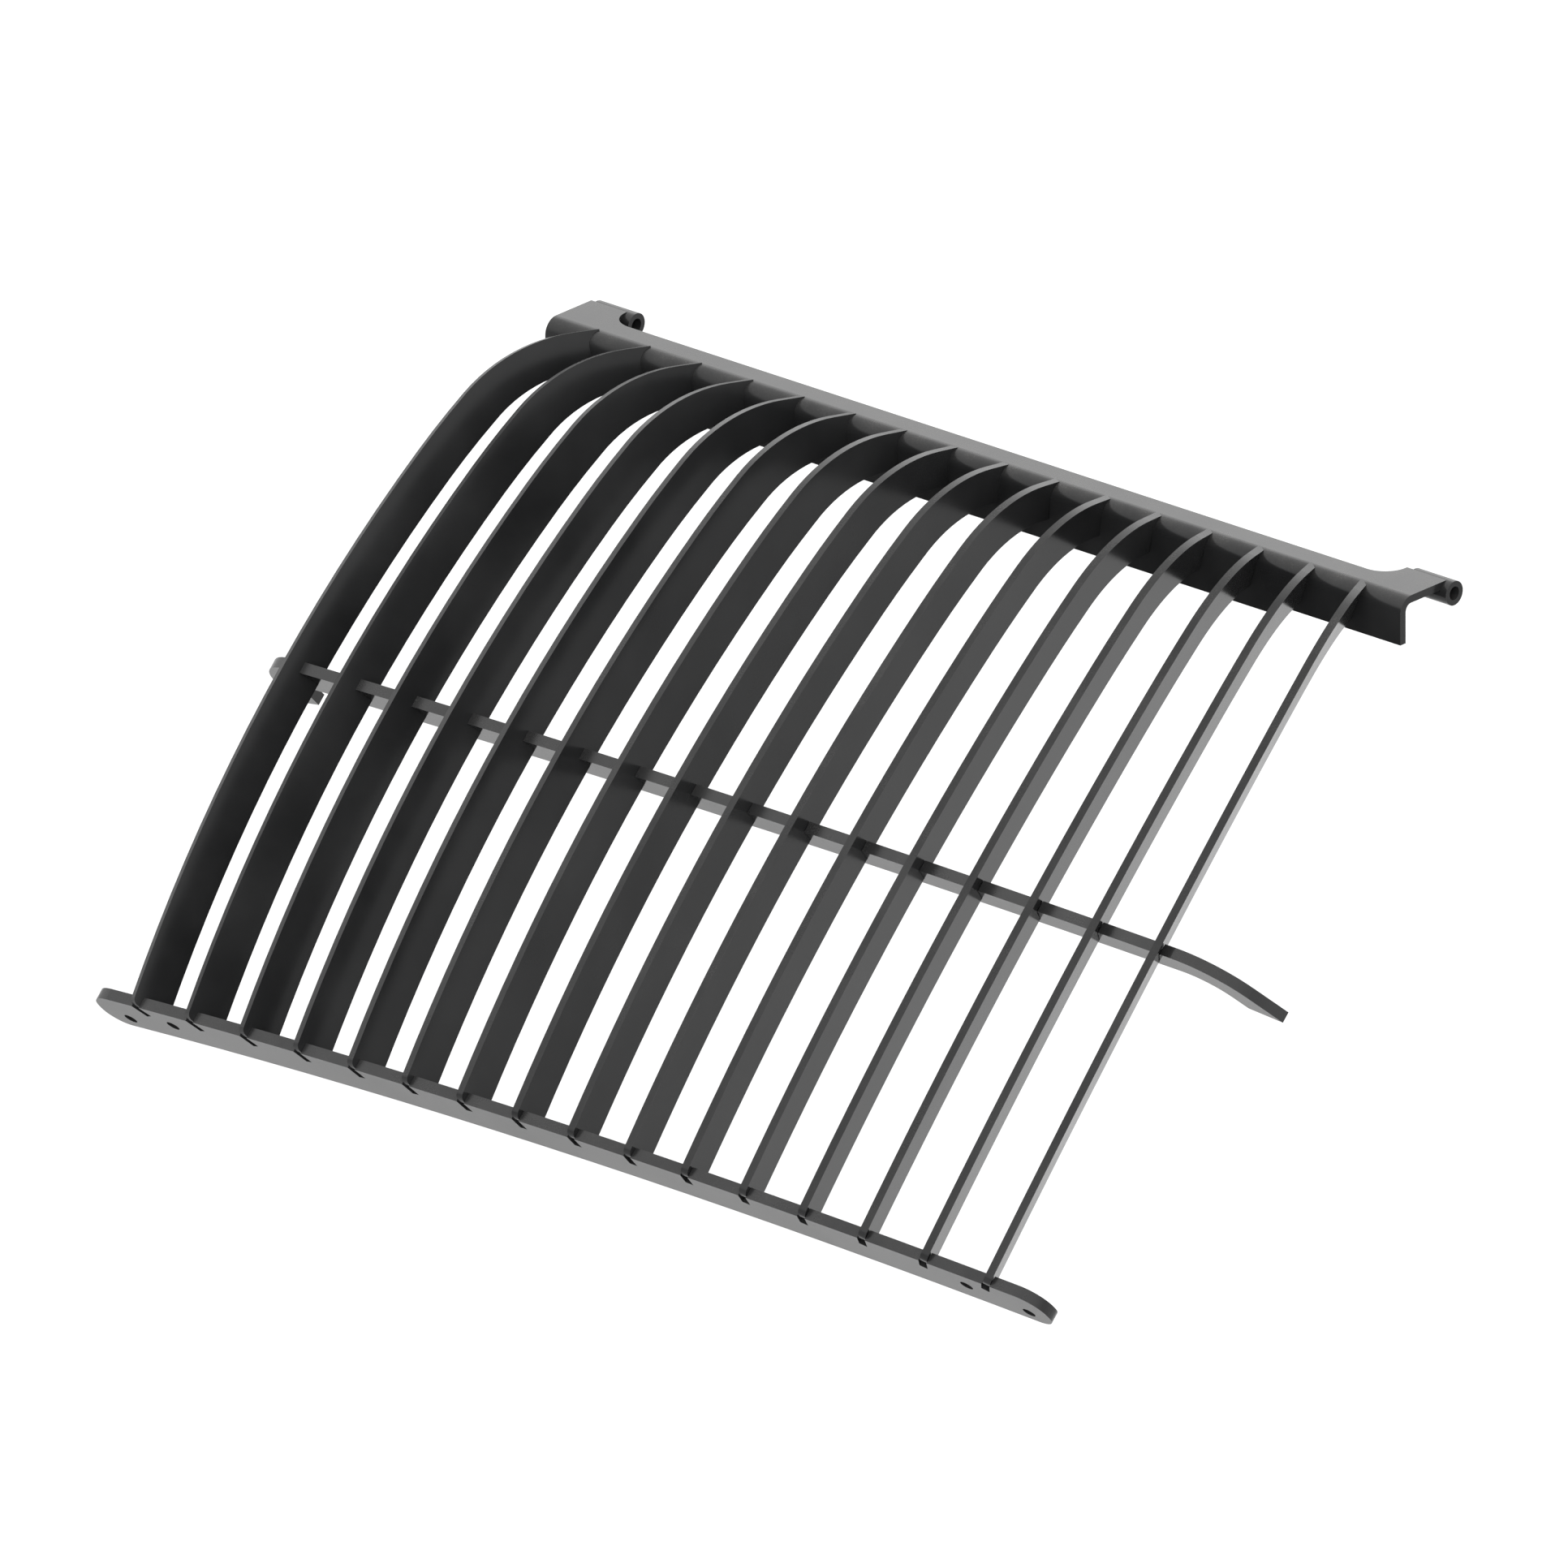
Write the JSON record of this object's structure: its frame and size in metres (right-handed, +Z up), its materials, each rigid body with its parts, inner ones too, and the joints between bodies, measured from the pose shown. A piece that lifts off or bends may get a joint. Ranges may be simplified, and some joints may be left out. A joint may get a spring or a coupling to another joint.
{
  "type": "window security bar",
  "caption": "Top-hinged window guard: flat bars fan out and bow forward from a bent-sheet hinge bracket, tied by a slotted middle rail and a drilled bottom rail.",
  "frame": {"origin": "on the hinge axis, half way along the hinge bracket", "axes": "+X runs along the hinge axis, -Y faces the side that the bars bow towards, +Z is up"},
  "size_m": [0.9681, 0.5434, 0.4415],
  "materials": {
    "black_paint_bracket": "satin black paint",
    "black_paint_barrels": "satin black paint",
    "black_paint_rails": "satin black paint",
    "black_paint_bars": "satin black paint"
  },
  "bodies": {
    "root": {"hinge_bracket": "black_paint_bracket", "hinge_barrel_left": "black_paint_barrels", "hinge_barrel_right": "black_paint_barrels", "middle_rail": "black_paint_rails", "bottom_rail": "black_paint_rails", "bar_01": "black_paint_bars", "bar_02": "black_paint_bars", "bar_03": "black_paint_bars", "bar_04": "black_paint_bars", "bar_05": "black_paint_bars", "bar_06": "black_paint_bars", "bar_07": "black_paint_bars", "bar_08": "black_paint_bars", "bar_09": "black_paint_bars", "bar_10": "black_paint_bars", "bar_11": "black_paint_bars", "bar_12": "black_paint_bars", "bar_13": "black_paint_bars", "bar_14": "black_paint_bars", "bar_15": "black_paint_bars", "bar_16": "black_paint_bars"}
  },
  "joints": []
}
